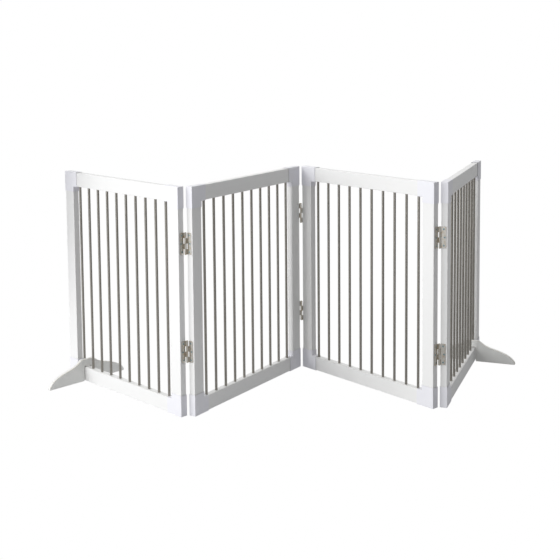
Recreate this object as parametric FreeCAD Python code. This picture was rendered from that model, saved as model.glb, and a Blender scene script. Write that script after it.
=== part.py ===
import FreeCAD, Part
import math
import os

from FreeCAD import Placement, Rotation, Vector

# Free-standing folding pet gate of four equal panels, in millimetres.
#
# Each panel is a painted wooden frame of two stiles and two rails, doweled together, with
# round metal bars seated in the rails and a moulded sleeve over each corner.  Neighbouring
# panels are joined by two butt hinges, whose leaves are screwed to the edges of the stiles
# and whose pins stand just proud of the faces that fold together.  The two end panels
# stand in loose boards with a slot that straddles the bottom rail.
#
# Frame: +X from the left end of the gate to its right end, +Y from its front to its back,
# +Z up, with the origin on the floor at the middle of the bounding box.
# A panel's own frame: x from its left edge to its right edge, y from its front face to its
# back face (both over the sleeves), z up from the floor.

# ---- Driving dimensions --------------------------------------------------------------

# Panels, over their sleeves
panel_width = 508.0
panel_height = 610.0

# Wooden frame
frame_thickness = 18.0
stile_width = 38.0
rail_height = 40.0
edge_round = 1.5

# Corner sleeves
sleeve_wall = 1.2
sleeve_clearance = 0.05
sleeve_leg = 57.0              # from the panel's outer corner to the open end of a leg
sleeve_round = 1.0

# Bars
bar_diameter = 7.0
bar_least_pitch = 42.5         # as many bars as fit at no less than this pitch
bar_seat_depth = 15.0
bar_clearance = 0.05

# Dowels that join the rails to the stiles, two at each corner
dowel_diameter = 8.0
dowel_length = 30.0
dowel_spacing = 20.0

# Butt hinges
leaf_thickness = 1.2
leaf_reach = 15.9              # from the pin's axis to the leaf's free edge
leaf_corner_round = 2.0
hinge_height = 57.5
knuckle_radius = 3.0
knuckle_count = 4
knuckle_end_clearance = 0.3
knuckle_side_clearance = 1.0   # between a knuckle and the other leaf's plate
pin_radius = 1.75
pin_clearance = 0.05
pin_head_radius = 2.4
pin_head_height = 0.9
pin_proud = 1.0                # of the pin's axis beyond the sleeves' faces

# Hinge screws, three in each leaf
screw_head_radius = 2.7
screw_shank_radius = 1.5
screw_length = 16.0
screw_head_clearance = 0.05
screw_pitch = 22.0             # from the middle screw to each outer one, along the leaf
screw_outer_reach = 9.5        # of the top and bottom screws, from the pin's axis
screw_middle_reach = 12.2

# Heights of the hinges' middles: the lower from the floor, the upper down from the top
lower_hinge_heights = (173.0, 172.0, 146.0)
upper_hinge_drops = (150.0, 141.0, 148.0)

# Feet
foot_thickness = 11.0
foot_toe_reach = 120.0         # of each toe beyond the sleeves' face
foot_bridge = 19.75            # of board over the slot
foot_slot_clearance = 3.0      # on both sides of the rail and over it
foot_slot_round = 3.0
foot_bar_gap = 0.8             # between the board and the panel's end bar
foot_top_half = 17.75          # half the flat stretch at the middle of the top
foot_waist_reach = 50.0        # from the sleeves' face to the hollow of the wave
foot_waist_height = 43.0
foot_waist_drop = 0.245        # slope of the top there
foot_crest_hold = 0.19         # how long the wave holds its direction as it leaves the
foot_hollow_hold = 0.67        # crest, comes to the waist, leaves it and comes to the
foot_shin_hold = 0.285         # nose, as shares of the run from crest to waist or from
foot_toe_hold = 0.118          # waist to nose
foot_toe_fullness = 0.63       # of the waist's height, that the toe bulges towards
foot_nose_round = 4.0

# Headings of the panels as they stand: turned from +X towards +Y, left to right
panel_headings = (-44.4, 55.9, -48.0, 69.8)

# The leaf that holds the pins at each fold: the panel, numbered from 0, and its edge
pin_holders = ((1, "left"), (1, "right"), (2, "right"))

# ---- Values that follow from them ----------------------------------------------------

overhang = sleeve_wall + sleeve_clearance          # of a sleeve beyond the wood
panel_depth = frame_thickness + 2 * overhang       # over the sleeves
middle_y = panel_depth / 2
wood_y0 = overhang
wood_y1 = overhang + frame_thickness
opening_x0 = overhang + stile_width
opening_x1 = panel_width - opening_x0
rail_top = overhang + rail_height

opening_width = opening_x1 - opening_x0
bar_count = int(opening_width // bar_least_pitch)
bar_pitch = opening_width / bar_count
bar_xs = [opening_x0 + (k + 0.5) * bar_pitch for k in range(bar_count)]
bar_radius = bar_diameter / 2
bar_z0 = rail_top - bar_seat_depth
bar_z1 = panel_height - bar_z0

dowel_radius = dowel_diameter / 2
dowel_zs = [overhang + rail_height / 2 + s * dowel_spacing / 2 for s in (-1, 1)]
dowel_zs += [panel_height - z for z in dowel_zs]

pin_offset = leaf_thickness + knuckle_radius       # of the pin from the stile's edge
pin_x = panel_width - overhang + pin_offset        # for a hinge on the right edge
pin_y = panel_depth + pin_proud                    # for a hinge that folds backwards
knuckle_length = hinge_height / knuckle_count
upper_hinge_heights = [panel_height - drop for drop in upper_hinge_drops]
hinge_heights = list(zip(lower_hinge_heights, upper_hinge_heights))

foot_slot_half = frame_thickness / 2 + foot_slot_clearance
foot_slot_top = rail_top + foot_slot_clearance
foot_height = foot_slot_top + foot_bridge
foot_half = middle_y + foot_toe_reach
foot_x = bar_xs[0] + bar_radius + foot_bar_gap     # of its face beside the end bar


# ---- Small helpers -------------------------------------------------------------------

def box(x0, x1, y0, y1, z0, z1):
    return Part.makeBox(x1 - x0, y1 - y0, z1 - z0, Vector(x0, y0, z0))


def rod(radius, start, end):
    """A cylinder from one point to another."""
    start = Vector(*start)
    run = Vector(*end) - start
    return Part.makeCylinder(radius, run.Length, start, run)


def one_solid(shape):
    """The single solid that a cut or a fusion has to leave."""
    shape = shape.removeSplitter()
    if len(shape.Solids) != 1:
        raise ValueError("expected one solid, got %d" % len(shape.Solids))
    return shape.Solids[0]


def left_to_right(shape):
    return shape.mirror(Vector(panel_width / 2, 0, 0), Vector(1, 0, 0))


def back_to_front(shape):
    return shape.mirror(Vector(0, middle_y, 0), Vector(0, 1, 0))


def bottom_to_top(shape):
    return shape.mirror(Vector(0, 0, panel_height / 2), Vector(0, 0, 1))


def rounded(solid, radius, keep):
    """The solid with its edges rounded, apart from those that keep() wants sharp."""
    edges = [edge for edge in solid.Edges if not keep(edge.CenterOfMass)]
    return solid.makeFillet(radius, edges)


# ---- Wooden frame --------------------------------------------------------------------

def left_stile():
    """A stile, eased along its four long edges, with blind holes for its dowels."""
    wood = box(overhang, opening_x0, wood_y0, wood_y1, overhang, panel_height - overhang)
    at_an_end = (overhang, panel_height - overhang)
    wood = rounded(wood, edge_round, lambda c: min(abs(c.z - z) for z in at_an_end) < 0.1)
    return wood.cut(dowels_on_the_left())


def bottom_rail():
    """A rail between the stiles, with its dowel holes and the seats of the bars."""
    wood = box(opening_x0, opening_x1, wood_y0, wood_y1, overhang, rail_top)
    at_an_end = (opening_x0, opening_x1)
    wood = rounded(wood, edge_round, lambda c: min(abs(c.x - x) for x in at_an_end) < 0.1)
    dowels = dowels_on_the_left()
    seat_radius = bar_radius + bar_clearance
    seats = [rod(seat_radius, (x, middle_y, bar_z0), (x, middle_y, rail_top + 1)) for x in bar_xs]
    return wood.cut(dowels + [left_to_right(dowel) for dowel in dowels] + seats)


def dowels_on_the_left():
    x0 = opening_x0 - dowel_length / 2
    x1 = opening_x0 + dowel_length / 2
    return [rod(dowel_radius, (x0, middle_y, z), (x1, middle_y, z)) for z in dowel_zs]


def all_dowels():
    dowels = dowels_on_the_left()
    return Part.makeCompound(dowels + [left_to_right(dowel) for dowel in dowels])


def bars():
    rods = [rod(bar_radius, (x, middle_y, bar_z0), (x, middle_y, bar_z1)) for x in bar_xs]
    return Part.makeCompound(rods)


# ---- Corner sleeves ------------------------------------------------------------------

def bottom_left_sleeve():
    """An L-shaped moulded tube, closed at the corner and open at the ends of its legs."""
    x_in = opening_x0 + overhang
    z_in = rail_top + overhang
    outline = [(0, 0), (sleeve_leg, 0), (sleeve_leg, z_in), (x_in, z_in),
               (x_in, sleeve_leg), (0, sleeve_leg), (0, 0)]
    wire = Part.makePolygon([Vector(x, 0, z) for x, z in outline])
    body = Part.Face(wire).extrude(Vector(0, panel_depth, 0))
    body = rounded(body, min(sleeve_round, sleeve_wall),
                   lambda c: max(c.x, c.z) > sleeve_leg - 0.1)
    gap = sleeve_clearance
    y0 = wood_y0 - gap
    y1 = wood_y1 + gap
    around_stile = box(sleeve_wall, opening_x0 + gap, y0, y1, sleeve_wall, sleeve_leg + 1)
    around_rail = box(sleeve_wall, sleeve_leg + 1, y0, y1, sleeve_wall, rail_top + gap)
    hole_radius = bar_radius + bar_clearance
    bar_holes = [rod(hole_radius, (x, middle_y, bar_z0), (x, middle_y, z_in + 1))
                 for x in bar_xs if x - hole_radius < sleeve_leg]
    return one_solid(body.cut([around_stile, around_rail] + bar_holes))


# ---- Hinges, drawn on the right edge of a panel with the pin at its back --------------

def screw_points(height):
    """Where a leaf's screws cross the stile's edge."""
    x = panel_width - overhang
    outer_y = pin_y - screw_outer_reach
    middle_screw_y = pin_y - screw_middle_reach
    return [(x, outer_y, height - screw_pitch), (x, middle_screw_y, height),
            (x, outer_y, height + screw_pitch)]


def screw(point, head_clearance=0.0):
    """A countersunk screw, its head flush with the leaf and its shank in the stile."""
    x, y, z = point
    head_depth = screw_head_radius - screw_shank_radius
    face_x = x + leaf_thickness
    head = Part.makeCone(screw_shank_radius + head_clearance, screw_head_radius + head_clearance,
                         head_depth, Vector(face_x - head_depth, y, z), Vector(1, 0, 0))
    shank = rod(screw_shank_radius + head_clearance, (face_x - screw_length, y, z),
                (face_x - head_depth / 2, y, z))
    return one_solid(head.fuse(shank))


def leaf(height, knuckles):
    """One leaf: a plate on the stile's edge whose tabs roll round the pin."""
    x0 = panel_width - overhang
    x1 = x0 + leaf_thickness
    z0 = height - hinge_height / 2
    z1 = z0 + hinge_height
    plate_y0 = pin_y - leaf_reach
    plate_y1 = pin_y - knuckle_radius - knuckle_side_clearance
    plate = rounded(box(x0, x1, plate_y0, plate_y1, z0, z1), leaf_corner_round,
                    lambda c: c.y > plate_y0 + 0.1 or min(c.z - z0, z1 - c.z) > 0.1)
    pieces = [plate]
    for k in knuckles:
        top = z1 - k * knuckle_length - knuckle_end_clearance / 2
        bottom = top + knuckle_end_clearance - knuckle_length
        roll = rod(knuckle_radius, (pin_x, pin_y, bottom), (pin_x, pin_y, top))
        tab = box(x0, x1, plate_y1 - 1, pin_y, bottom, top)
        neck = box(x0, pin_x, pin_y - knuckle_radius, pin_y, bottom, top)
        pieces += [roll, tab, neck]
    bore = rod(pin_radius + pin_clearance, (pin_x, pin_y, z0 - 1), (pin_x, pin_y, z1 + 1))
    seats = [screw(point, screw_head_clearance) for point in screw_points(height)]
    return one_solid(pieces[0].fuse(pieces[1:]).cut([bore] + seats))


def hinge_pin(height):
    """A pin through all the knuckles, with a low head at each end."""
    z0 = height - hinge_height / 2
    z1 = z0 + hinge_height
    shaft = rod(pin_radius, (pin_x, pin_y, z0), (pin_x, pin_y, z1))
    heads = [rod(pin_head_radius, (pin_x, pin_y, z), (pin_x, pin_y, z + pin_head_height))
             for z in (z0 - pin_head_height, z1)]
    return one_solid(shaft.fuse(heads))


# ---- Feet ----------------------------------------------------------------------------

def bezier(*poles):
    curve = Part.BezierCurve()
    curve.setPoles([Vector(foot_x, y, z) for y, z in poles])
    return curve.toShape()


def left_foot():
    """A wave-topped board across the gate, with a slot that straddles the bottom rail."""
    waist = middle_y + foot_waist_reach
    crest_run = waist - foot_top_half
    into_waist = foot_hollow_hold * crest_run
    top = bezier((foot_top_half, foot_height),
                 (foot_top_half + foot_crest_hold * crest_run, foot_height),
                 (waist - into_waist, foot_waist_height + foot_waist_drop * into_waist),
                 (waist, foot_waist_height))
    toe_run = foot_half - waist
    out_of_waist = foot_shin_hold * toe_run
    toe = bezier((waist, foot_waist_height),
                 (waist + out_of_waist, foot_waist_height - foot_waist_drop * out_of_waist),
                 (foot_half - foot_toe_hold * toe_run, foot_toe_fullness * foot_waist_height),
                 (foot_half, foot_nose_round))

    def point(y, z):
        return Vector(foot_x, y, z)

    bend = foot_nose_round * (1 - math.sqrt(0.5))
    nose = Part.Arc(point(foot_half, foot_nose_round),
                    point(foot_half - bend, bend),
                    point(foot_half - foot_nose_round, 0)).toShape()
    half = foot_slot_half
    ease = foot_slot_round
    corner = ease * (1 - math.sqrt(0.5))
    slot_corner = Part.Arc(point(half, foot_slot_top - ease),
                           point(half - corner, foot_slot_top - corner),
                           point(half - ease, foot_slot_top)).toShape()
    edges = [
        Part.LineSegment(point(0, foot_height), point(foot_top_half, foot_height)).toShape(),
        top, toe, nose,
        Part.LineSegment(point(foot_half - foot_nose_round, 0), point(half, 0)).toShape(),
        Part.LineSegment(point(half, 0), point(half, foot_slot_top - ease)).toShape(),
        slot_corner,
        Part.LineSegment(point(half - ease, foot_slot_top), point(0, foot_slot_top)).toShape(),
        Part.LineSegment(point(0, foot_slot_top), point(0, foot_height)).toShape(),
    ]
    back_half = Part.Face(Part.Wire(edges)).extrude(Vector(foot_thickness, 0, 0))
    front_half = back_half.mirror(Vector(0, 0, 0), Vector(0, 1, 0))
    board = one_solid(back_half.fuse(front_half))
    board.translate(Vector(0, middle_y, 0))
    return board


# ---- The four panels and what is fixed to them ----------------------------------------

def hinge_side(panel, edge):
    """How a hinge drawn at the right edge and the back moves to this panel's edge."""
    joint = panel if edge == "right" else panel - 1
    folds_forwards = joint == 1

    def moved(shape):
        if folds_forwards:
            shape = back_to_front(shape)
        return left_to_right(shape) if edge == "left" else shape

    return joint, moved


def panel_nodes(panel):
    """The nodes of one panel, numbered from 0, in its own frame."""
    name = "panel_%d_" % (panel + 1)
    edges = [edge for edge, hinged in (("left", panel > 0), ("right", panel < 3)) if hinged]
    stiles = {"left": left_stile(), "right": left_to_right(left_stile())}
    nodes = {}
    screws = []
    pins = []
    for edge in edges:
        joint, moved = hinge_side(panel, edge)
        knuckles = range(0 if edge == "right" else 1, knuckle_count, 2)
        for level, height in zip(("lower", "upper"), hinge_heights[joint]):
            nodes[name + edge + "_" + level + "_leaf"] = moved(leaf(height, knuckles))
            driven = [moved(screw(point)) for point in screw_points(height)]
            stiles[edge] = stiles[edge].cut(driven)
            screws += driven
            if (panel, edge) in pin_holders:
                pins.append(moved(hinge_pin(height)))
    nodes[name + "hinge_screws"] = Part.makeCompound(screws)
    if pins:
        nodes[name + "hinge_pins"] = Part.makeCompound(pins)
    nodes[name + "left_stile"] = one_solid(stiles["left"])
    nodes[name + "right_stile"] = one_solid(stiles["right"])
    nodes[name + "bottom_rail"] = one_solid(bottom_rail())
    nodes[name + "top_rail"] = bottom_to_top(nodes[name + "bottom_rail"])
    nodes[name + "bars"] = bars()
    nodes[name + "dowels"] = all_dowels()
    sleeve = bottom_left_sleeve()
    for side, across in (("left", sleeve), ("right", left_to_right(sleeve))):
        nodes[name + "bottom_" + side + "_sleeve"] = across
        nodes[name + "top_" + side + "_sleeve"] = bottom_to_top(across)
    if panel == 0:
        nodes["left_foot"] = left_foot()
    if panel == 3:
        nodes["right_foot"] = left_to_right(left_foot())
    return nodes


def panel_placements():
    """Where each panel stands: each hangs from the hinge pins of the one on its left."""
    placements = [Placement(Vector(0, 0, 0), Rotation(Vector(0, 0, 1), panel_headings[0]))]
    for joint, heading in enumerate(panel_headings[1:]):
        y = -pin_proud if joint == 1 else pin_y
        pin = placements[-1].multVec(Vector(pin_x, y, 0))
        turn = Rotation(Vector(0, 0, 1), heading)
        corner = pin - turn.multVec(Vector(panel_width - pin_x, y, 0))
        placements.append(Placement(corner, turn))
    return placements


def gate():
    """Every node of the gate, standing on the floor with the origin under its middle."""
    nodes = {}
    for panel, placement in enumerate(panel_placements()):
        for name, shape in panel_nodes(panel).items():
            shape = shape.copy()
            shape.Placement = placement.multiply(shape.Placement)
            nodes[name] = shape
    around = Part.makeCompound(list(nodes.values())).optimalBoundingBox(False, False)
    to_origin = Vector(-around.Center.x, -around.Center.y, -around.ZMin)
    for shape in nodes.values():
        shape.translate(to_origin)
    return nodes


os.makedirs("parts", exist_ok=True)
for node_name, node_shape in gate().items():
    node_shape.exportStep("parts/%s.step" % node_name)
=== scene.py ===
from math import atan2, pi, radians

import bmesh
import bpy
from mathutils import Euler, Matrix, Vector
from mathutils.geometry import interpolate_bezier


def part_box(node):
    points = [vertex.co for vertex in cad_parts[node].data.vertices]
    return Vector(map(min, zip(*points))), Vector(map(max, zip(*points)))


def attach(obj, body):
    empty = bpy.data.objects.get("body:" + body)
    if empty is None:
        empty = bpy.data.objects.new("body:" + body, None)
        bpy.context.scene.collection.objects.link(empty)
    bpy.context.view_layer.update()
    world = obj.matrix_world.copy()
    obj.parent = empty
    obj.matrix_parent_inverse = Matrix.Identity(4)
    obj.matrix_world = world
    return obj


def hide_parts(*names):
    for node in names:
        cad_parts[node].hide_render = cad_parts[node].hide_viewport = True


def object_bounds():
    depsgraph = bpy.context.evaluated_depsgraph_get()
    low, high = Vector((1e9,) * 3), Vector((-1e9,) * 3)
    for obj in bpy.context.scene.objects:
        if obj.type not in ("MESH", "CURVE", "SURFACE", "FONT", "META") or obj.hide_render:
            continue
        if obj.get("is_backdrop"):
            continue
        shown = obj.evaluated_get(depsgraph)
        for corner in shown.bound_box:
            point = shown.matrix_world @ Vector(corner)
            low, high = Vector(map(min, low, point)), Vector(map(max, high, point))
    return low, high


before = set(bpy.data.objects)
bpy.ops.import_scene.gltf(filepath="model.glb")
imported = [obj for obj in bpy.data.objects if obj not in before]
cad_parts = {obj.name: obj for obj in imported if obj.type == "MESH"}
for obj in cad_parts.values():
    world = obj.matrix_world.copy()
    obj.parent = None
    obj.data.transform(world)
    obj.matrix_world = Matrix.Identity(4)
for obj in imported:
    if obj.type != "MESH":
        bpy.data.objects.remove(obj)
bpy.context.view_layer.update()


# ======================================================================================
# The wooden frames.  Each panel is two stiles and two rails of planed softwood, doweled
# at the corners, eased along their long edges and sprayed with a satin white paint.
# The CAD members are right as they are, and take a paint that follows their own grain.
# ======================================================================================

PANELS = (1, 2, 3, 4)
ENDS = ("left", "right")
LEVELS = ("bottom", "top")

PAINT = (0.86, 0.86, 0.855)
PAINT_SHADE = (0.80, 0.80, 0.785)
BARE_EDGE = (0.60, 0.53, 0.42)
PAINT_ROUGHNESS = 0.38
PAINT_GLOSSIER = 0.05
PAINT_DULLER = 0.07
CLOUD_SCALE = 9.0
PEEL_SCALE = 900.0
PEEL_SHARE = 0.18
STREAK_SCALE_ACROSS = 420.0
STREAK_SCALE_ALONG = 7.0
SHADE_SHARE = 0.35
BARE_SHARE = 0.45
WEAR_WIDTH = 0.0009
CHIP_SCALE = 60.0
BRUSH_HEIGHT = 0.00006
BRUSH_STRENGTH = 0.6


def middle(node):
    low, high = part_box(node)
    return (low + high) / 2


def panel_place(panel):
    """Where a panel's own frame is: x along it, y from front to back, z up from the floor."""
    left = middle("panel_%d_left_stile" % panel)
    right = middle("panel_%d_right_stile" % panel)
    along = right - left
    centre = (left + right) / 2
    return Matrix.Translation((centre.x, centre.y, 0)) @ Matrix.Rotation(atan2(along.y, along.x), 4, "Z")


def extent(node, place):
    """The lowest and highest corners of a CAD node in a panel's own frame."""
    to_panel = place.inverted()
    points = [to_panel @ v.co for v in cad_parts[node].data.vertices]
    low = Vector(min(p[i] for p in points) for i in range(3))
    high = Vector(max(p[i] for p in points) for i in range(3))
    return low, high


places = {panel: panel_place(panel) for panel in PANELS}


class Nodes:
    """A node tree being wired up: each call adds a node, sets its sockets and links them."""

    def __init__(self, tree):
        self.tree = tree

    def add(self, kind, settings=None, **sockets):
        node = self.tree.nodes.new("ShaderNode" + kind)
        for name, value in (settings or {}).items():
            setattr(node, name, value)
        for name, value in sockets.items():
            key = int(name[1:]) if name[0] == "_" else name.replace("_", " ")
            socket = node.inputs[key]
            if isinstance(value, bpy.types.NodeSocket):
                self.tree.links.new(value, socket)
            else:
                socket.default_value = value
        return node

    def math(self, operation, a, b=0.0, clamp=False):
        return self.add("Math", {"operation": operation, "use_clamp": clamp}, _0=a, _1=b).outputs[0]

    def mix(self, factor, a, b):
        node = self.add("Mix", {"data_type": "RGBA"}, Factor=factor)
        for socket, value in ((node.inputs[6], a), (node.inputs[7], b)):
            if isinstance(value, bpy.types.NodeSocket):
                self.tree.links.new(value, socket)
            else:
                socket.default_value = (*value, 1)
        return node.outputs[2]

    def between(self, value, low, high, to_low=0.0, to_high=1.0):
        node = self.add("MapRange", None, Value=value, From_Min=low, From_Max=high,
                        To_Min=to_low, To_Max=to_high)
        return node.outputs[0]


def new_group(name, inputs, outputs):
    """An empty node group with the named float, vector and colour sockets."""
    group = bpy.data.node_groups.new(name, "ShaderNodeTree")
    kinds = {"f": "NodeSocketFloat", "v": "NodeSocketVector", "c": "NodeSocketColor"}
    for direction, sockets in (("INPUT", inputs), ("OUTPUT", outputs)):
        for socket, kind in sockets.items():
            group.interface.new_socket(socket, in_out=direction, socket_type=kinds[kind])
    given = group.nodes.new("NodeGroupInput")
    made = group.nodes.new("NodeGroupOutput")
    return group, Nodes(group), given, made


def brushed_coat_group():
    """Sprayed paint over wood: faint long streaks, mottled gloss and a fine orange peel."""
    group, n, given, made = new_group(
        "brushed_coat", {"Place": "v", "Length Scale": "v"},
        {"Tone": "f", "Roughness": "f", "Height": "f"})
    stretched = n.add("VectorMath", {"operation": "MULTIPLY"}, _0=given.outputs["Place"],
                      _1=given.outputs["Length Scale"]).outputs[0]
    streak = n.add("TexNoise", None, Vector=stretched, Scale=1.0, Detail=4.0, Roughness=0.6).outputs[0]
    cloud = n.add("TexNoise", None, Vector=given.outputs["Place"], Scale=CLOUD_SCALE, Detail=2.0).outputs[0]
    peel = n.add("TexNoise", None, Vector=given.outputs["Place"], Scale=PEEL_SCALE, Detail=1.0).outputs[0]
    tone = n.math("ADD", n.between(streak, 0.3, 0.7, 0.0, 0.55), n.between(cloud, 0.35, 0.65, 0.0, 0.45))
    height = n.math("ADD", streak, n.math("MULTIPLY", peel, PEEL_SHARE))
    gloss = n.between(cloud, 0.3, 0.7, PAINT_ROUGHNESS - PAINT_GLOSSIER, PAINT_ROUGHNESS + PAINT_DULLER)
    group.links.new(tone, made.inputs["Tone"])
    group.links.new(gloss, made.inputs["Roughness"])
    group.links.new(height, made.inputs["Height"])
    return group


def edge_wear_group():
    """A mask along the edges of a squared member: 1 on the arris, 0 away from it.

    Place is measured from the member's middle and Half is half its size.
    """
    group, n, given, made = new_group(
        "edge_wear", {"Place": "v", "Half": "v", "Width": "f"}, {"Mask": "f"})
    size = n.add("VectorMath", {"operation": "ABSOLUTE"}, _0=given.outputs["Place"]).outputs[0]
    inside = n.add("VectorMath", {"operation": "SUBTRACT"}, _0=given.outputs["Half"], _1=size).outputs[0]
    parts = n.add("SeparateXYZ", None, Vector=inside)
    furthest_in = n.math("MAXIMUM", parts.outputs[0], parts.outputs[1])
    chips = n.add("TexNoise", None, Vector=given.outputs["Place"], Scale=CHIP_SCALE, Detail=4.0).outputs[0]
    reach = n.math("MULTIPLY", given.outputs["Width"], n.between(chips, 0.4, 0.75, 0.05, 1.3))
    mask = n.math("SUBTRACT", 1.0, n.math("DIVIDE", furthest_in, reach), clamp=True)
    group.links.new(mask, made.inputs["Mask"])
    return group


brushed_coat = brushed_coat_group()
edge_wear = edge_wear_group()


def new_material(name):
    material = bpy.data.materials.new(name)
    material.use_nodes = True
    material.node_tree.nodes.clear()
    return material, Nodes(material.node_tree)


def finish_material(n, shader):
    out = n.add("OutputMaterial")
    n.tree.links.new(shader.outputs[0], out.inputs[0])


def painted_wood(name, centre, turn, half, grain):
    """White paint on a member, turned and centred on it, with its streaks along the grain."""
    material, n = new_material(name)
    where = n.add("TexCoord").outputs["Object"]
    local = n.add("Mapping", {"vector_type": "TEXTURE"}, Vector=where, Location=centre,
                  Rotation=(0, 0, turn)).outputs[0]
    scale = [STREAK_SCALE_ACROSS] * 3
    scale[grain] = STREAK_SCALE_ALONG
    coat = n.add("Group", {"node_tree": brushed_coat}, Place=local, Length_Scale=scale)
    # The wear group looks at the two directions across the grain.
    across = local
    across_half = list(half)
    if grain == 0:
        across = n.add("Mapping", None, Vector=local, Rotation=(0, pi / 2, 0)).outputs[0]
        across_half = [half[2], half[1], half[0]]
    worn = n.add("Group", {"node_tree": edge_wear}, Place=across, Half=across_half, Width=WEAR_WIDTH)
    tone = n.mix(n.math("MULTIPLY", coat.outputs["Tone"], SHADE_SHARE), PAINT, PAINT_SHADE)
    colour = n.mix(n.math("MULTIPLY", worn.outputs["Mask"], BARE_SHARE), tone, BARE_EDGE)
    bump = n.add("Bump", None, Strength=BRUSH_STRENGTH, Distance=BRUSH_HEIGHT,
                 Height=coat.outputs["Height"])
    shader = n.add("BsdfPrincipled", None, Base_Color=colour, Roughness=coat.outputs["Roughness"],
                   Normal=bump.outputs[0])
    finish_material(n, shader)
    return material


def dress(piece, material):
    piece.data.materials.clear()
    piece.data.materials.append(material)


for panel in PANELS:
    heading = places[panel].to_euler().z
    for member, grain in (("left_stile", 2), ("right_stile", 2), ("bottom_rail", 0), ("top_rail", 0)):
        node = "panel_%d_%s" % (panel, member)
        low, high = extent(node, places[panel])
        centre = places[panel] @ ((low + high) / 2)
        paint = painted_wood("paint_" + node, centre, heading, (high - low) / 2, grain)
        dress(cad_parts[node], paint)


# ======================================================================================
# The dowels.  Two fluted beech dowels are glued in across each corner joint, where the
# sleeves hide them.
# ======================================================================================

BEECH = (0.60, 0.42, 0.25)
BEECH_DARK = (0.45, 0.29, 0.16)
FIBRE_SCALE = 350.0
FIBRE_HEIGHT = 0.0002


def bare_beech():
    material, n = new_material("bare_beech")
    where = n.add("TexCoord").outputs["Object"]
    fibre = n.add("TexNoise", None, Vector=where, Scale=FIBRE_SCALE, Detail=5.0).outputs[0]
    bump = n.add("Bump", None, Strength=0.3, Distance=FIBRE_HEIGHT, Height=fibre)
    shader = n.add("BsdfPrincipled", None, Base_Color=n.mix(fibre, BEECH, BEECH_DARK), Roughness=0.7,
                   Normal=bump.outputs[0])
    finish_material(n, shader)
    return material


beech = bare_beech()
for panel in PANELS:
    dress(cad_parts["panel_%d_dowels" % panel], beech)


# ======================================================================================
# The bars.  Ten drawn steel rods stand in blind holes in the rails of each panel.  They
# are nickel plated over the marks that the drawing die leaves along them.
# ======================================================================================

ROD = (0.27, 0.25, 0.215)
ROD_LIGHT = (0.37, 0.355, 0.33)
ROD_RIM = (0.60, 0.55, 0.50, 1)
DRAW_MARK_SCALE = (1500, 1500, 6)
DRAW_MARK_DEPTH = 0.00003


def drawn_rod():
    material, n = new_material("drawn_rod")
    where = n.add("TexCoord").outputs["Object"]
    along = n.add("Mapping", None, Vector=where, Scale=DRAW_MARK_SCALE).outputs[0]
    draw_marks = n.add("TexNoise", None, Vector=along, Scale=1.0, Detail=3.0).outputs[0]
    cloud = n.add("TexNoise", None, Vector=where, Scale=30.0, Detail=3.0).outputs[0]
    colour = n.mix(n.between(draw_marks, 0.3, 0.7), ROD, ROD_LIGHT)
    rough = n.math("ADD", n.between(draw_marks, 0.3, 0.7, 0.20, 0.30), n.between(cloud, 0.4, 0.7, 0.0, 0.08))
    bump = n.add("Bump", None, Strength=0.25, Distance=DRAW_MARK_DEPTH, Height=draw_marks)
    shader = n.add("BsdfPrincipled", None, Base_Color=colour, Metallic=1.0, Roughness=rough,
                   Normal=bump.outputs[0])
    shader.inputs["Specular Tint"].default_value = ROD_RIM
    finish_material(n, shader)
    return material


rod = drawn_rod()
for panel in PANELS:
    dress(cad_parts["panel_%d_bars" % panel], rod)


# ======================================================================================
# The corner sleeves.  Sixteen injection-moulded L-shaped tubes are pushed over the
# corners of the frames before they are joined.  The plastic is a cooler white than the
# paint and stands a little proud of it, with an even wall and softly rounded edges.
# ======================================================================================

SLEEVE_WHITE = (0.845, 0.845, 0.885)
SLEEVE_SHADE = (0.80, 0.80, 0.85)
SLEEVE_WALL = 0.0012
SLEEVE_ROUND = 0.0014
SPARK_SCALE = 1600.0
SPARK_HEIGHT = 0.00004
COAT_ROUGHNESS = 0.3
ROUND_STEPS = 4


def moulded_plastic():
    material, n = new_material("moulded_plastic")
    where = n.add("TexCoord").outputs["Object"]
    cloud = n.add("TexNoise", None, Vector=where, Scale=25.0, Detail=2.0).outputs[0]
    spark = n.add("TexNoise", None, Vector=where, Scale=SPARK_SCALE, Detail=2.0).outputs[0]
    colour = n.mix(n.between(cloud, 0.35, 0.7, 0.0, 0.5), SLEEVE_WHITE, SLEEVE_SHADE)
    rough = n.between(cloud, 0.3, 0.7, 0.36, 0.46)
    bump = n.add("Bump", None, Strength=0.25, Distance=SPARK_HEIGHT, Height=spark)
    shader = n.add("BsdfPrincipled", None, Base_Color=colour, Roughness=rough, Normal=bump.outputs[0],
                   Coat_Weight=0.08)
    shader.inputs["Coat Roughness"].default_value = COAT_ROUGHNESS
    finish_material(n, shader)
    return material


def finished(name, shape, place, material, body, replaces, sharp=35):
    """Makes a piece of a bmesh in a panel's own frame, hangs it on its body and hides the CAD nodes it
    replaces.
    """
    shape.transform(place)
    bmesh.ops.recalc_face_normals(shape, faces=shape.faces)
    mesh = bpy.data.meshes.new(name)
    shape.to_mesh(mesh)
    shape.free()
    mesh.shade_smooth()
    mesh.set_sharp_from_angle(angle=radians(sharp))
    piece = bpy.data.objects.new(name, mesh)
    bpy.context.scene.collection.objects.link(piece)
    mesh.materials.append(material)
    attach(piece, body)
    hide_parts(*replaces)
    return piece


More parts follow.
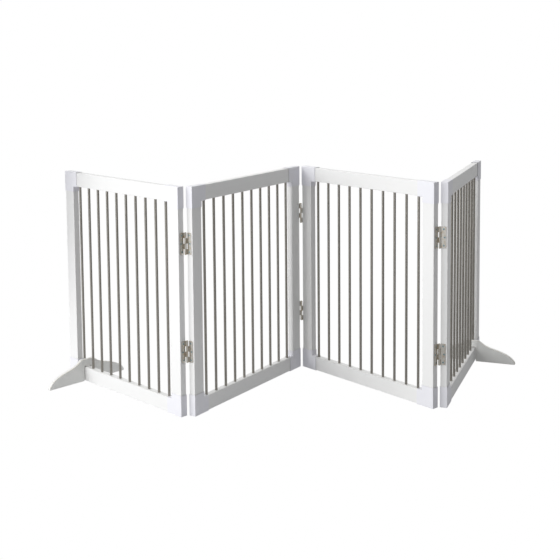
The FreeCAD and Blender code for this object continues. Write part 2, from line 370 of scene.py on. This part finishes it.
def sleeve_shape(low, high, leg_x, leg_z, sign_x, sign_z):
    """The outer skin of a sleeve, open at the ends of its legs.

    low and high are its corners; leg_x and leg_z are how wide its upright and level legs are,
    and the signs say which way they point from the panel's outer corner.
    """
    size_x = high.x - low.x
    size_z = high.z - low.z
    outline = [(0, 0), (size_x, 0), (size_x, leg_z), (leg_x, leg_z), (leg_x, size_z), (0, size_z)]
    corner_x = low.x if sign_x > 0 else high.x
    corner_z = low.z if sign_z > 0 else high.z
    shape = bmesh.new()
    verts = [shape.verts.new((corner_x + sign_x * x, low.y, corner_z + sign_z * z)) for x, z in outline]
    side = shape.faces.new(verts)
    grown = bmesh.ops.extrude_face_region(shape, geom=[side])["geom"]
    moved = [v for v in grown if isinstance(v, bmesh.types.BMVert)]
    bmesh.ops.translate(shape, verts=moved, vec=(0, high.y - low.y, 0))
    shape.faces.ensure_lookup_table()
    end_x = corner_x + sign_x * size_x
    end_z = corner_z + sign_z * size_z
    open_ends = [f for f in shape.faces
                 if all(abs(v.co.x - end_x) < 1e-6 for v in f.verts)
                 or all(abs(v.co.z - end_z) < 1e-6 for v in f.verts)]
    bmesh.ops.delete(shape, geom=open_ends, context="FACES_ONLY")
    rounded = [e for e in shape.edges if len(e.link_faces) == 2]
    bmesh.ops.bevel(shape, geom=rounded, offset=SLEEVE_ROUND, segments=ROUND_STEPS, profile=0.5,
                    affect="EDGES", material=-1)
    return shape


plastic = moulded_plastic()
for panel in PANELS:
    place = places[panel]
    for end in ENDS:
        stile_low, stile_high = extent("panel_%d_%s_stile" % (panel, end), place)
        for level in LEVELS:
            node = "panel_%d_%s_%s_sleeve" % (panel, level, end)
            low, high = extent(node, place)
            rail_low, rail_high = extent("panel_%d_%s_rail" % (panel, level), place)
            proud = stile_low.x - low.x if end == "left" else high.x - stile_high.x
            leg_x = stile_high.x - stile_low.x + 2 * proud
            leg_z = rail_high.z - rail_low.z + 2 * proud
            shape = sleeve_shape(low, high, leg_x, leg_z, 1 if end == "left" else -1,
                                 1 if level == "bottom" else -1)
            sleeve = finished("sleeve_%d_%s_%s" % (panel, level, end), shape, place, plastic,
                              "panel_%d" % panel, [node])
            wall = sleeve.modifiers.new("wall", "SOLIDIFY")
            wall.thickness = SLEEVE_WALL
            wall.offset = -1
            wall.use_even_offset = True
            weighted = sleeve.modifiers.new("even_shading", "WEIGHTED_NORMAL")
            weighted.keep_sharp = True


# ======================================================================================
# The hinges.  Two butt hinges join each pair of panels: stamped steel leaves rolled into
# knuckles, nickel plated, on a pin with a low head at each end.
# ======================================================================================

PLATE = (0.60, 0.58, 0.53)
PLATE_BROWN = (0.50, 0.43, 0.34)
PLATE_RIM = (0.78, 0.74, 0.70, 1)
PLATE_CLOUD_SCALE = 160.0
PLATE_GRAIN_SCALE = 1400.0
PLATE_GRAIN_HEIGHT = 0.00004


def plated_steel():
    material, n = new_material("plated_steel")
    where = n.add("TexCoord").outputs["Object"]
    cloud = n.add("TexNoise", None, Vector=where, Scale=PLATE_CLOUD_SCALE, Detail=4.0).outputs[0]
    fine = n.add("TexNoise", None, Vector=where, Scale=PLATE_GRAIN_SCALE, Detail=2.0).outputs[0]
    colour = n.mix(n.between(cloud, 0.45, 0.70), PLATE, PLATE_BROWN)
    rough = n.math("ADD", n.between(cloud, 0.3, 0.7, 0.07, 0.15), n.math("MULTIPLY", fine, 0.04))
    bump = n.add("Bump", None, Strength=0.3, Distance=PLATE_GRAIN_HEIGHT, Height=fine)
    shader = n.add("BsdfPrincipled", None, Base_Color=colour, Metallic=1.0, Roughness=rough,
                   Normal=bump.outputs[0])
    shader.inputs["Specular Tint"].default_value = PLATE_RIM
    finish_material(n, shader)
    return material


plate = plated_steel()
for name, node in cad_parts.items():
    if name.endswith("_leaf") or name.endswith("_hinge_pins"):
        dress(node, plate)


# ======================================================================================
# The hinge screws.  Three countersunk cross-head screws go through each leaf into the edge
# of its stile, with their heads flush with the leaf.
# ======================================================================================

SCREW_ZINC = (0.42, 0.52, 0.54)
SCREW_DARK = (0.16, 0.22, 0.23)
HEAD_SHARE = 0.075
SHANK_SHARE = 0.55
CROSS_REACH = 0.0016
CROSS_HALF = 0.00045
CROSS_DEPTH = 0.0011
CROSS_TAPER = 0.6
POINT_STARTS = 0.85
POINT_SIZE = 0.1
SCREW_SIDES = 28
SCREW_GAP = 0.005


def zinc_screw():
    material, n = new_material("zinc_screw")
    where = n.add("TexCoord").outputs["Object"]
    cloud = n.add("TexNoise", None, Vector=where, Scale=900.0, Detail=3.0).outputs[0]
    colour = n.mix(n.between(cloud, 0.4, 0.7), SCREW_ZINC, SCREW_DARK)
    shader = n.add("BsdfPrincipled", None, Base_Color=colour, Metallic=1.0,
                   Roughness=n.between(cloud, 0.3, 0.7, 0.16, 0.32))
    finish_material(n, shader)
    return material


def screw_spans(node, place):
    """The low and high corners of each screw of a CAD node, in a panel's own frame."""
    to_panel = place.inverted()
    points = [to_panel @ v.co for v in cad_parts[node].data.vertices]
    spans = []
    for side in (-1, 1):
        column = sorted((p for p in points if p.x * side > 0), key=lambda p: p.z)
        start = 0
        for i in range(1, len(column) + 1):
            if i == len(column) or column[i].z - column[i - 1].z > SCREW_GAP:
                run = column[start:i]
                spans.append((side, Vector(min(p[k] for p in run) for k in range(3)),
                              Vector(max(p[k] for p in run) for k in range(3))))
                start = i
    return spans


def add_screw(shape, side, low, high):
    """Adds a screw that lies along x with its head at the panel's end and fills low to high."""
    before = set(shape.verts)
    head = (high.z - low.z) / 2
    length = high.x - low.x
    rim = bmesh.ops.create_circle(shape, segments=SCREW_SIDES, radius=head)["verts"]
    rim_edges = [e for e in shape.edges if e.verts[0] in rim and e.verts[1] in rim]
    r, w = CROSS_REACH, CROSS_HALF
    corners = [(r, w), (w, w), (w, r), (-w, r), (-w, w), (-r, w),
               (-r, -w), (-w, -w), (-w, -r), (w, -r), (w, -w), (r, -w)]
    cross = [shape.verts.new((x, y, 0)) for x, y in corners]
    cross_edges = [shape.edges.new((cross[i - 1], cross[i])) for i in range(len(cross))]
    bmesh.ops.triangle_fill(shape, use_beauty=True, edges=rim_edges + cross_edges, normal=(0, 0, 1))
    recess = [(CROSS_DEPTH, CROSS_TAPER)]
    shank = [(HEAD_SHARE * length, SHANK_SHARE), (POINT_STARTS * length, SHANK_SHARE), (length, POINT_SIZE)]
    for edges, rings in ((cross_edges, recess), (rim_edges, shank)):
        size = 1.0
        depth = 0.0
        for ring_depth, ring_size in rings:
            grown = bmesh.ops.extrude_edge_only(shape, edges=edges)["geom"]
            verts = [g for g in grown if isinstance(g, bmesh.types.BMVert)]
            edges = [g for g in grown if isinstance(g, bmesh.types.BMEdge)]
            bmesh.ops.scale(shape, vec=(ring_size / size, ring_size / size, 1), verts=verts)
            bmesh.ops.translate(shape, vec=(0, 0, depth - ring_depth), verts=verts)
            size, depth = ring_size, ring_depth
        bmesh.ops.triangle_fill(shape, use_beauty=True, edges=edges, normal=(0, 0, 1))
    made = [v for v in shape.verts if v not in before]
    face_x = high.x if side > 0 else low.x
    bmesh.ops.rotate(shape, matrix=Matrix.Rotation(side * pi / 2, 3, "Y"), verts=made)
    bmesh.ops.translate(shape, vec=(face_x, (low.y + high.y) / 2, (low.z + high.z) / 2), verts=made)


zinc = zinc_screw()
for panel in PANELS:
    node = "panel_%d_hinge_screws" % panel
    shape = bmesh.new()
    for side, low, high in screw_spans(node, places[panel]):
        add_screw(shape, side, low, high)
    finished("screws_%d" % panel, shape, places[panel], zinc, "panel_%d" % panel, [node])


# ======================================================================================
# The feet.  Each end panel stands in a board cut to a wave, with a slot that straddles
# the bottom rail.  The edges are rounded over, where the paint is thin.
# ======================================================================================

FOOT_ROUND = 0.0022
SLOT_HALF = 0.012
SLOT_ROUND = 0.003
SLOT_TOP = 0.04425
TOP_HALF = 0.01775
WAIST_REACH = 0.050
WAIST_HEIGHT = 0.043
WAIST_DROP = 0.245
CREST_HOLD = 0.19
HOLLOW_HOLD = 0.67
SHIN_HOLD = 0.285
TOE_HOLD = 0.118
TOE_FULLNESS = 0.63
NOSE_ROUND = 0.004
ARC_HOLD = 0.55
TOP_POINTS = 14
TOE_POINTS = 16
ARC_POINTS = 5
FOOT_PAINT = (0.86, 0.865, 0.84)
FOOT_BARE = (0.62, 0.54, 0.43)
FOOT_SHADE_SHARE = 0.4
FOOT_BRUSH_STRENGTH = 0.5
FOOT_STREAK_SCALE = 260
FOOT_CHIP_SCALE = 140.0


def foot_outline(half, height, depth):
    """One half of the board's outline, from the crest of its top to the middle of its slot."""
    waist = depth / 2 + WAIST_REACH
    crest_run = waist - TOP_HALF
    into_waist = HOLLOW_HOLD * crest_run
    top = interpolate_bezier((TOP_HALF, height), (TOP_HALF + CREST_HOLD * crest_run, height),
                             (waist - into_waist, WAIST_HEIGHT + WAIST_DROP * into_waist),
                             (waist, WAIST_HEIGHT), TOP_POINTS)
    toe_run = half - waist
    out_of_waist = SHIN_HOLD * toe_run
    toe = interpolate_bezier((waist, WAIST_HEIGHT),
                             (waist + out_of_waist, WAIST_HEIGHT - WAIST_DROP * out_of_waist),
                             (half - TOE_HOLD * toe_run, TOE_FULLNESS * WAIST_HEIGHT),
                             (half, NOSE_ROUND), TOE_POINTS)
    ease = (1 - ARC_HOLD) * NOSE_ROUND
    nose = interpolate_bezier((half, NOSE_ROUND), (half, ease), (half - ease, 0), (half - NOSE_ROUND, 0),
                              ARC_POINTS)
    ease = (1 - ARC_HOLD) * SLOT_ROUND
    slot = interpolate_bezier((SLOT_HALF, SLOT_TOP - SLOT_ROUND), (SLOT_HALF, SLOT_TOP - ease),
                              (SLOT_HALF - ease, SLOT_TOP), (SLOT_HALF - SLOT_ROUND, SLOT_TOP),
                              ARC_POINTS)
    return [*top, *toe[1:], *nose[1:], Vector((SLOT_HALF, 0)), *slot]


def painted_board():
    material, n = new_material("painted_board")
    where = n.add("TexCoord").outputs["Object"]
    coat = n.add("Group", {"node_tree": brushed_coat}, Place=where, Length_Scale=[FOOT_STREAK_SCALE] * 3)
    arris = n.add("Attribute", {"attribute_name": "arris"}).outputs["Fac"]
    chips = n.add("TexNoise", None, Vector=where, Scale=FOOT_CHIP_SCALE, Detail=4.0).outputs[0]
    bare = n.math("MULTIPLY", arris, n.between(chips, 0.35, 0.65, 0.1, 0.9))
    tone = n.mix(n.math("MULTIPLY", coat.outputs["Tone"], FOOT_SHADE_SHARE), FOOT_PAINT, PAINT_SHADE)
    colour = n.mix(bare, tone, FOOT_BARE)
    bump = n.add("Bump", None, Strength=FOOT_BRUSH_STRENGTH, Distance=BRUSH_HEIGHT,
                 Height=coat.outputs["Height"])
    shader = n.add("BsdfPrincipled", None, Base_Color=colour, Roughness=coat.outputs["Roughness"],
                   Normal=bump.outputs[0])
    finish_material(n, shader)
    return material


board_paint = painted_board()
for end, panel in (("left", 1), ("right", 4)):
    place = places[panel]
    low, high = extent(end + "_foot", place)
    sleeve_low, sleeve_high = extent("panel_%d_bottom_%s_sleeve" % (panel, end), place)
    half_outline = foot_outline((high.y - low.y) / 2, high.z, sleeve_high.y - sleeve_low.y)
    mirrored = [Vector((-p.x, p.y)) for p in reversed(half_outline)]
    shape = bmesh.new()
    verts = [shape.verts.new((low.x, p.x, p.y)) for p in half_outline + mirrored]
    side = shape.faces.new(verts)
    grown = bmesh.ops.extrude_face_region(shape, geom=[side])["geom"]
    moved = [v for v in grown if isinstance(v, bmesh.types.BMVert)]
    bmesh.ops.translate(shape, verts=moved, vec=(high.x - low.x, 0, 0))
    arrises = [e for e in shape.edges if abs(e.verts[0].co.x - e.verts[1].co.x) < 1e-6]
    bmesh.ops.bevel(shape, geom=arrises, offset=FOOT_ROUND, segments=ROUND_STEPS, profile=0.5,
                    affect="EDGES", material=-1)
    wear = shape.verts.layers.float.new("arris")
    for v in shape.verts:
        edge_in = min(v.co.x - low.x, high.x - v.co.x)
        v[wear] = 1.0 if 0.1 * FOOT_ROUND < edge_in < 0.9 * FOOT_ROUND else 0.0
    foot = finished("foot_board_" + end, shape, place, board_paint, end + "_foot_body",
                    [end + "_foot"])
    weighted = foot.modifiers.new("even_shading", "WEIGHTED_NORMAL")
    weighted.keep_sharp = True


# ======================================================================================
# The floor, the light and the camera.  A white floor runs into a white surround.  A
# large soft light stands to the front left, with a black flag at the gate's left end, and
# what is in front of the gate is darker, which gives the rods their dark middles.
# ======================================================================================

FLOOR_HALF = 30.0
FLOOR_BOUNCE = (0.30, 0.30, 0.30, 1)
FLOOR_GLOW = (0.96, 0.97, 1.0, 1)
GLOW_LEFT = 0.60
GLOW_RIGHT = 0.17
GLOW_FROM_X = -1.4
GLOW_TO_X = 0.7


def white_floor():
    material, n = new_material("white_floor")
    seen = n.add("LightPath").outputs["Is Camera Ray"]
    bright = n.add("Emission", None, Color=(1, 1, 1, 1), Strength=1.0)
    lit = n.add("BsdfDiffuse", None, Color=FLOOR_BOUNCE)
    place = n.add("SeparateXYZ", None, Vector=n.add("TexCoord").outputs["Object"])
    strength = n.between(place.outputs[0], GLOW_FROM_X, GLOW_TO_X, GLOW_LEFT, GLOW_RIGHT)
    glow = n.add("Emission", None, Color=FLOOR_GLOW, Strength=strength)
    bounce = n.add("AddShader", None, _0=lit.outputs[0], _1=glow.outputs[0])
    shader = n.add("MixShader", None, _0=seen, _1=bounce.outputs[0], _2=bright.outputs[0])
    finish_material(n, shader)
    return material


shape = bmesh.new()
bmesh.ops.create_grid(shape, x_segments=1, y_segments=1, size=FLOOR_HALF)
mesh = bpy.data.meshes.new("floor")
shape.to_mesh(mesh)
shape.free()
floor = bpy.data.objects.new("floor", mesh)
bpy.context.scene.collection.objects.link(floor)
mesh.materials.append(white_floor())
floor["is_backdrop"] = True

FRONT_LIGHT = 0.08
SIDE_LIGHT = 0.42
BACK_LIGHT = 0.5
SKY_LIGHT = 0.55
LEFT_LIGHT = 0.16
RIGHT_SHADE = -0.2
LEAST_LIGHT = 0.02

world = bpy.data.worlds.new("studio")
bpy.context.scene.world = world
world.use_nodes = True
world.node_tree.nodes.clear()
n = Nodes(world.node_tree)
way = n.add("SeparateXYZ", None, Vector=n.add("TexCoord").outputs["Generated"])
to_the_side = n.between(way.outputs[1], -0.75, 0.0, FRONT_LIGHT, SIDE_LIGHT)
to_the_back = n.between(way.outputs[1], 0.0, 0.9, 0.0, BACK_LIGHT)
overhead = n.between(way.outputs[2], 0.3, 0.9, 0.0, SKY_LIGHT)
from_the_left = n.between(way.outputs[0], -0.9, 0.9, LEFT_LIGHT, RIGHT_SHADE)
level_light = n.math("ADD", n.math("ADD", to_the_side, to_the_back), from_the_left)
around = n.math("ADD", n.math("MAXIMUM", level_light, LEAST_LIGHT), overhead)
seen = n.add("LightPath").outputs["Is Camera Ray"]
lighting = n.add("Background", None, Color=(1, 1, 1, 1), Strength=around)
white = n.add("Background", None, Color=(1, 1, 1, 1), Strength=1.0)
mixed = n.add("MixShader", None, _0=seen, _1=lighting.outputs[0], _2=white.outputs[0])
n.tree.links.new(mixed.outputs[0], n.add("OutputWorld").inputs[0])

KEY_PLACE = Vector((-4.9, -2.8, 2.2))
KEY_SIZE = 4.0
KEY_POWER = 250.0
KEY_AIM = Vector((0, 0, 0.3))

key_data = bpy.data.lights.new("key", "AREA")
key_data.energy = KEY_POWER
key_data.size = KEY_SIZE
key = bpy.data.objects.new("key", key_data)
bpy.context.scene.collection.objects.link(key)
key.location = KEY_PLACE
key.rotation_euler = (KEY_AIM - KEY_PLACE).to_track_quat("-Z", "Y").to_euler()

FLAG_PLACE = Vector((-1.0, 0.18, 0.72))
FLAG_WIDE = 0.6
FLAG_HIGH = 0.8
FLAG_BLACK = (0.02, 0.02, 0.02, 1)

# The flag keeps some of the key light off the gate's left end.
shape = bmesh.new()
bmesh.ops.create_grid(shape, x_segments=1, y_segments=1, size=0.5)
bmesh.ops.scale(shape, vec=(FLAG_WIDE, FLAG_HIGH, 1), verts=shape.verts)
bmesh.ops.rotate(shape, matrix=Euler((pi / 2, 0, pi / 2)).to_matrix(), verts=shape.verts)
bmesh.ops.translate(shape, vec=FLAG_PLACE, verts=shape.verts)
mesh = bpy.data.meshes.new("flag")
shape.to_mesh(mesh)
shape.free()
flag = bpy.data.objects.new("flag", mesh)
bpy.context.scene.collection.objects.link(flag)
black, n = new_material("black_cloth")
finish_material(n, n.add("BsdfDiffuse", None, Color=FLAG_BLACK))
mesh.materials.append(black)
flag.visible_camera = False
flag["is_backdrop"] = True

CAMERA_PLACE = Vector((-0.0145, -2.9408, 0.9889))
CAMERA_TILT = radians(5.218)
CAMERA_TURN = radians(0.129)
CAMERA_ROLL = radians(-0.48)
CAMERA_LENS = 67.41
CAMERA_DROP = -0.2607

camera_data = bpy.data.cameras.new("camera")
camera_data.sensor_width = 36.0
camera_data.lens = CAMERA_LENS
camera_data.shift_y = CAMERA_DROP
camera = bpy.data.objects.new("camera", camera_data)
bpy.context.scene.collection.objects.link(camera)
aim = Euler((pi / 2 - CAMERA_TILT, 0, CAMERA_TURN)).to_matrix() @ Matrix.Rotation(CAMERA_ROLL, 3, "Z")
camera.matrix_world = Matrix.Translation(CAMERA_PLACE) @ aim.to_4x4()
bpy.context.scene.camera = camera
bpy.context.scene.view_settings.view_transform = "Standard"

low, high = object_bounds()
